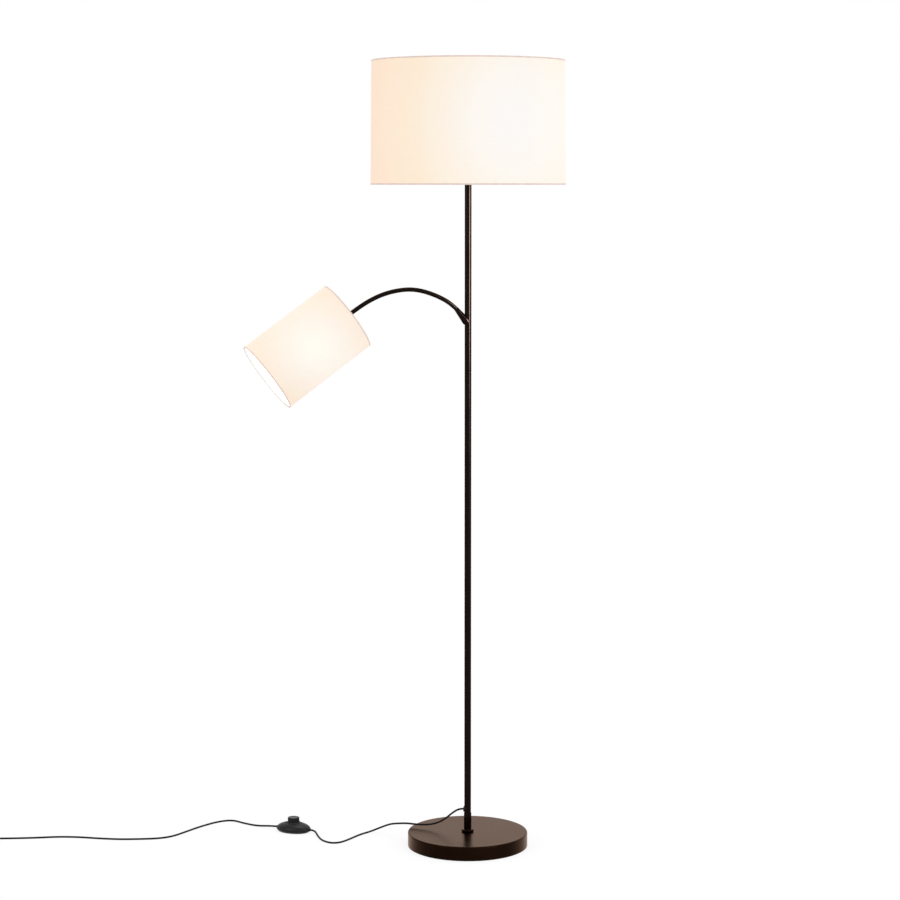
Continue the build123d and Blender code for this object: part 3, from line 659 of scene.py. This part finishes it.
def shadeCloth(shade, place):
    rows, height, wall = shade["rows"], shade["height"], shade["wall"]
    levels = [height * row / rows for row in range(rows + 1)]
    outer = [(shadeRadius(shade, level), level) for level in levels]
    inner = [(radius - wall, level) for radius, level in reversed(outer)]
    bm = spinProfile(outer + inner, shade["steps"])
    bmesh.ops.recalc_face_normals(bm, faces=bm.faces)
    paintWeave(bm, shade["entryDiameter"] / 2)
    for face in bm.faces:  # faces that look at the axis show the lining
        middle = face.calc_center_median()
        outward = Vector((middle.x, middle.y, 0)).normalized()
        face.material_index = 1 if face.normal.dot(outward) < -0.5 else 0
    placeOnHead(bm, shade, place)
    cloth = finishMesh(bm, shade["name"] + "Cloth", materials[shade["cloth"]])
    cloth.data.materials.append(materials["shadeLining"])
    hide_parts(shade["node"])
    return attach(cloth, shade["body"])


def shadeTape(shade, place, level, end):
    # the narrow tape folded over a rim
    lift, width = shade["tapeLift"], shade["tapeWidth"]
    outer = shadeRadius(shade, level)
    inner = outer - shade["wall"]
    edge, fold = lift * rimFold["edgeLift"], lift * rimFold["foldLift"]
    inward = -1 if level > 0 else 1
    far, top = level + inward * width, level - inward * lift
    profile = [
        (outer, far), (outer + edge, far - inward * lift), (outer + lift, level),
        (outer + fold, top), (inner - fold, top), (inner - lift, level), (inner - lift, far),
        (inner, far), (inner, level), (outer, level),
    ]
    bm = spinProfile(profile, shade["steps"])
    placeOnHead(bm, shade, place)
    tape = finishMesh(
        bm, shade["name"] + end, materials["rimTape"], sharpAngle=rimFold["sharpAngle"]
    )
    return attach(tape, shade["body"])


def shadeSeam(shade, place):
    # where the cloth's ends lap over each other and are glued
    lift, margin = shade["seamLift"], shade["tapeWidth"] * rimFold["seamClearance"]
    low, high = margin, shade["height"] - margin
    inner = [(shadeRadius(shade, level) - lift, level) for level in (low, high)]
    outer = [(shadeRadius(shade, level) + lift, level) for level in (high, low)]
    span = shade["seamWidth"] / (shade["entryDiameter"] / 2)
    turn = Matrix.Rotation(shade["seamAngle"] - span / 2, 3, "Z")
    bm = bmesh.new()
    verts = [bm.verts.new((radius, 0, height)) for radius, height in inner + outer]
    face = bm.faces.new(verts)
    layer = bm.loops.layers.uv.new("weave")
    bmesh.ops.rotate(bm, verts=bm.verts, cent=(0, 0, 0), matrix=turn)
    bmesh.ops.spin(
        bm, geom=[face, *face.edges, *verts], cent=(0, 0, 0), axis=(0, 0, 1), angle=span,
        steps=shade["seamSteps"],
    )
    for face in bm.faces:
        for loop in face.loops:
            angle = math.atan2(loop.vert.co.y, loop.vert.co.x)
            loop[layer].uv = (angle * shade["entryDiameter"] / 2, loop.vert.co.z)
    placeOnHead(bm, shade, place)
    seam = finishMesh(bm, shade["name"] + "Seam", materials[shade["cloth"]])
    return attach(seam, shade["body"])


for shade, place in ((mainShade, mainPlace), (readingShade, readingPlace)):
    cloth = shadeCloth(shade, place)
    seam = shadeSeam(shade, place)
    entryTape = shadeTape(shade, place, 0, "TapeEntry")
    farTape = shadeTape(shade, place, shade["height"], "TapeFar")
print("shades made")

# foot switch

footSwitch = {
    "place": (-0.3746, 0.1085, 0), "turn": math.radians(158.8), "length": 0.077, "width": 0.052,
    "seam": 0.0065, "domeRise": 0.0143, "keelDepth": 0.013, "wall": 0.0018, "seamGap": 0.00018,
    "neckBore": 0.0128, "neckOuter": 0.0142, "neckTop": 0.0215, "neckFlare": 0.0026,
    "domeOpening": 1.02,  # in neck bores
    "neckLip": (0.0003, 0.0004, 0.0002, 0.0006),  # inner bevel, flat's end, edge, side's start
    "flareSteps": ((0.06, 0.55), (0.22, 0.95), (0.55, 1.30), (1.0, 1.60)),  # out, and down
    "flareFoot": 2.2, "soleStep": (0.004, 0.0045), "soleHollow": 0.0006,
    "rowsUp": 14, "rowsDown": 7, "steps": 96, "sharpAngle": 50,
}
footButton = {
    "diameter": 0.025, "skirtBottom": 0.0146, "sideTop": 0.0293, "top": 0.0311, "ribs": 18,
    "pointsPerRib": 8, "fluteDepth": 0.0011, "fluteShape": 0.6, "edge": 0.0016, "dish": 0.0004,
    "crownSteps": ((0.55, 0.18), (0.30, 0.32), (0.15, 0.50)),  # shares of the rise and the edge
    "dishEdge": 1.8,
}
switchTurn = Matrix.Translation(footSwitch["place"]) @ Matrix.Rotation(footSwitch["turn"], 4, "Z")


def ovalArc(reach, rise, rows, end):
    # points of a quarter oval from its rim inwards, as (radius, height from the seam)
    angles = [end * row / rows for row in range(rows + 1)]
    return [(reach * math.cos(angle), rise * math.sin(angle)) for angle in angles]


def makeOval(bm):
    share = footSwitch["width"] / footSwitch["length"]
    bmesh.ops.scale(bm, verts=bm.verts, vec=(1, share, 1))
    return bm


def placeSwitch(bm, name, finish="switchPlastic"):
    bmesh.ops.transform(bm, verts=bm.verts, matrix=switchTurn)
    return finishMesh(bm, name, materials[finish], sharpAngle=footSwitch["sharpAngle"])


def makeSwitchDome():
    # the upper half: an oval dome with a wall, open under the neck
    reach, rise, wall = footSwitch["length"] / 2, footSwitch["domeRise"], footSwitch["wall"]
    opening = footSwitch["neckBore"] * footSwitch["domeOpening"]
    stop = math.acos(opening / (footSwitch["width"] / 2))
    outer = ovalArc(reach, rise, footSwitch["rowsUp"], stop)
    inner = ovalArc(reach - wall, rise - wall, footSwitch["rowsUp"], stop)
    lift = footSwitch["seam"] + footSwitch["seamGap"]
    profile = [(radius, height + lift) for radius, height in [*outer, *reversed(inner)]]
    dome = placeSwitch(makeOval(spinProfile(profile, footSwitch["steps"])), "switchDome")
    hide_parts("switch_upper_housing")
    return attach(dome, "stand")


def makeSwitchNeck():
    # the round collar that the button slides in, flared into the dome
    bore, outer, top = footSwitch["neckBore"], footSwitch["neckOuter"], footSwitch["neckTop"]
    flare = footSwitch["neckFlare"]
    foot = top - footSwitch["flareFoot"] * flare
    bevel, flatEnd, edge, sideStart = footSwitch["neckLip"]
    profile = [
        (bore, foot), (bore, top - bevel), (bore + bevel, top), (outer - flatEnd, top),
        (outer - edge / 2, top - edge), (outer, top - sideStart),
    ]
    profile += [(outer + flare * out, top - flare * down) for out, down in footSwitch["flareSteps"]]
    profile.append((outer + flare, foot))
    neck = placeSwitch(spinProfile(profile, footSwitch["steps"]), "switchNeck")
    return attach(neck, "stand")


def makeSwitchSole():
    # the lower half, flat where it stands on the floor
    reach, depth, wall = footSwitch["length"] / 2, footSwitch["keelDepth"], footSwitch["wall"]
    seam, gap, hollow = footSwitch["seam"], footSwitch["seamGap"], footSwitch["soleHollow"]
    side = ovalArc(reach, -depth, footSwitch["rowsDown"], math.asin(seam / depth))
    footRadius = side[-1][0]
    stepOuter, stepInner = (footRadius - inset for inset in footSwitch["soleStep"])
    profile = [
        (reach - wall, seam - gap), (reach, seam - gap),
        *[(radius, seam + height) for radius, height in side[1:]],
        (stepOuter, 0), (stepInner, hollow), (0, hollow), (0, wall), (footRadius - wall, wall),
    ]
    sole = placeSwitch(makeOval(spinProfile(profile, footSwitch["steps"])), "switchSole")
    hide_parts("switch_lower_housing")
    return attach(sole, "stand")


def makeSwitchButton():
    # a fluted side under a rounded, slightly dished top
    radius, count = footButton["diameter"] / 2, footButton["ribs"] * footButton["pointsPerRib"]
    halfStep = Matrix.Rotation(math.pi / count, 3, "Z")
    bm = bmesh.new()
    bmesh.ops.create_circle(
        bm, segments=count, radius=radius, cap_ends=True,
        matrix=Matrix.Translation((0, 0, footButton["skirtBottom"])),
    )
    bmesh.ops.rotate(bm, verts=bm.verts, cent=(0, 0, 0), matrix=halfStep)
    for vert in bm.verts:
        turn = math.atan2(vert.co.y, vert.co.x) * footButton["ribs"]
        flute = max(0.0, math.cos(turn)) ** footButton["fluteShape"]
        vert.co.xy = vert.co.xy * (1 - footButton["fluteDepth"] * flute / radius)
    top = bm.faces[:][0]
    edge, rise = footButton["edge"], footButton["top"] - footButton["sideTop"]
    steps = [(footButton["sideTop"] - footButton["skirtBottom"], 0.0)]
    steps += [(rise * up, edge * inward) for up, inward in footButton["crownSteps"]]
    steps.append((-footButton["dish"], edge * footButton["dishEdge"]))
    for number, (up, inward) in enumerate(steps):
        grown = bmesh.ops.extrude_face_region(bm, geom=[top])["geom"]
        verts = [part for part in grown if isinstance(part, bmesh.types.BMVert)]
        if number > 0:  # the first face stays as the underside
            bmesh.ops.delete(bm, geom=[top], context="FACES_ONLY")
        top = next(part for part in grown if isinstance(part, bmesh.types.BMFace))
        bmesh.ops.translate(bm, verts=verts, vec=(0, 0, up))
        share = 1 - inward / radius
        bmesh.ops.scale(bm, verts=verts, vec=(share, share, 1))
    bmesh.ops.poke(bm, faces=[top])
    button = placeSwitch(bm, "switchButtonCap", "buttonPlastic")
    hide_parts("switch_button")
    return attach(button, "foot_button")


makeSwitchDome()
makeSwitchNeck()
makeSwitchSole()
makeSwitchButton()
print("foot switch made")

# leads: given their sheath and attached to the stand, in place of the CAD cords

for lead, node in ((nearLead, "cord_to_switch"), (farLead, "cord_from_switch")):
    lead.data.materials.append(materials["leadSheath"])
    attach(lead, "stand")
    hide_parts(node)
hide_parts("cord_coil")

# floor, light and world

stageLook = {
    "floorRadius": 60.0, "floorSegments": 64, "floorColour": (0.92, 0.92, 0.92), "nearWhite": 0.82,
    "nearRadius": 0.30, "whiteRadius": 1.30, "ambient": 0.72,
}
lamps = {
    "sideBox": {"place": (2.3, -1.5, 1.45), "aim": (0, 0, 1.2), "size": (0.32, 1.3), "power": 17.0},
    "glintBox": {
        "place": (2.33, -1.52, 1.48), "aim": (0, 0, 1.2), "size": (0.95, 1.2), "power": 270.0,
        "glossOnly": "brownLacquer",
    },
    "leftBox": {"place": (-3.2, -2.6, 2.2), "aim": (0, 0, 0.8), "size": (1.4, 2.0), "power": 36.0},
    "topBox": {"place": (0.4, 0.6, 4.2), "aim": (0, 0, 0.6), "size": (2.4, 2.4), "power": 60.0},
}


def makeLamp(name, lamp):
    data = bpy.data.lights.new(name, "AREA")
    data.shape = "RECTANGLE"
    data.size, data.size_y = lamp["size"]
    data.energy = lamp["power"]
    light = bpy.data.objects.new(name, data)
    light.location = lamp["place"]
    way = Vector(lamp["aim"]) - Vector(lamp["place"])
    light.rotation_euler = way.to_track_quat("-Z", "Y").to_euler()
    if "glossOnly" in lamp:
        # a box that only draws the long highlight on the lacquered tubes
        light.visible_diffuse = False
        paint = materials[lamp["glossOnly"]]
        tubes = bpy.data.collections.new(name + "Tubes")
        for piece in bpy.context.scene.objects:
            if piece.type == "MESH" and piece.data.materials[:1] == [paint]:
                tubes.objects.link(piece)
        light.light_linking.receiver_collection = tubes
    bpy.context.scene.collection.objects.link(light)


for name, lamp in lamps.items():
    makeLamp(name, lamp)


def makeFloor():
    # white to the camera, with a share of the lit floor near the lamp, so that its shadow shows
    bm = bmesh.new()
    bmesh.ops.create_circle(
        bm, segments=stageLook["floorSegments"], radius=stageLook["floorRadius"], cap_ends=True
    )
    material = bpy.data.materials.new("paleFloor")
    material.use_nodes = True
    material.node_tree.nodes.clear()
    diffuse = addNode(material, "ShaderNodeBsdfDiffuse", Color=(*stageLook["floorColour"], 1))
    white = addNode(material, "ShaderNodeEmission", Strength=1.0)
    path = addNode(material, "ShaderNodeLightPath")
    seen = addOperation(
        material, "ShaderNodeMath", "MAXIMUM", (path, "Is Camera Ray"), (path, "Is Glossy Ray")
    )
    coordinates = addNode(material, "ShaderNodeTexCoord")
    distance = addOperation(material, "ShaderNodeVectorMath", "LENGTH", (coordinates, "Object"))
    fade = addNode(material, "ShaderNodeMapRange")
    fade.interpolation_type = "SMOOTHSTEP"
    fade.inputs["From Min"].default_value = stageLook["nearRadius"]
    fade.inputs["From Max"].default_value = stageLook["whiteRadius"]
    fade.inputs["To Min"].default_value = stageLook["nearWhite"]
    join(material, distance, "Value", fade, "Value")
    share = addOperation(
        material, "ShaderNodeMath", "MULTIPLY", (fade, "Result"), (seen, "Value")
    )
    mix = addNode(material, "ShaderNodeMixShader")
    join(material, share, "Value", mix, 0)
    join(material, diffuse, "BSDF", mix, 1)
    join(material, white, "Emission", mix, 2)
    output = addNode(material, "ShaderNodeOutputMaterial")
    join(material, mix, "Shader", output, "Surface")
    mesh = bpy.data.meshes.new("floor")
    bm.to_mesh(mesh)
    bm.free()
    makeObject("floor", mesh, material)


def makeWorld():
    world = bpy.data.worlds.new("studio")
    bpy.context.scene.world = world
    world.use_nodes = True
    world.node_tree.nodes.clear()
    path = addNode(world, "ShaderNodeLightPath")
    direct = addOperation(
        world, "ShaderNodeMath", "MAXIMUM", (path, "Is Camera Ray"), (path, "Is Glossy Ray")
    )
    seen = addOperation(
        world, "ShaderNodeMath", "MAXIMUM", (direct, "Value"), (path, "Is Transmission Ray")
    )
    strength = addNode(world, "ShaderNodeMapRange")
    strength.inputs["To Min"].default_value = stageLook["ambient"]
    strength.inputs["To Max"].default_value = 1.0
    join(world, seen, "Value", strength, "Value")
    background = addNode(world, "ShaderNodeBackground", Color=(1, 1, 1, 1))
    join(world, strength, "Result", background, "Strength")
    output = addNode(world, "ShaderNodeOutputWorld")
    join(world, background, "Background", output, "Surface")


makeFloor()
makeWorld()
bpy.context.scene.view_settings.view_transform = "Standard"
print("stage set")
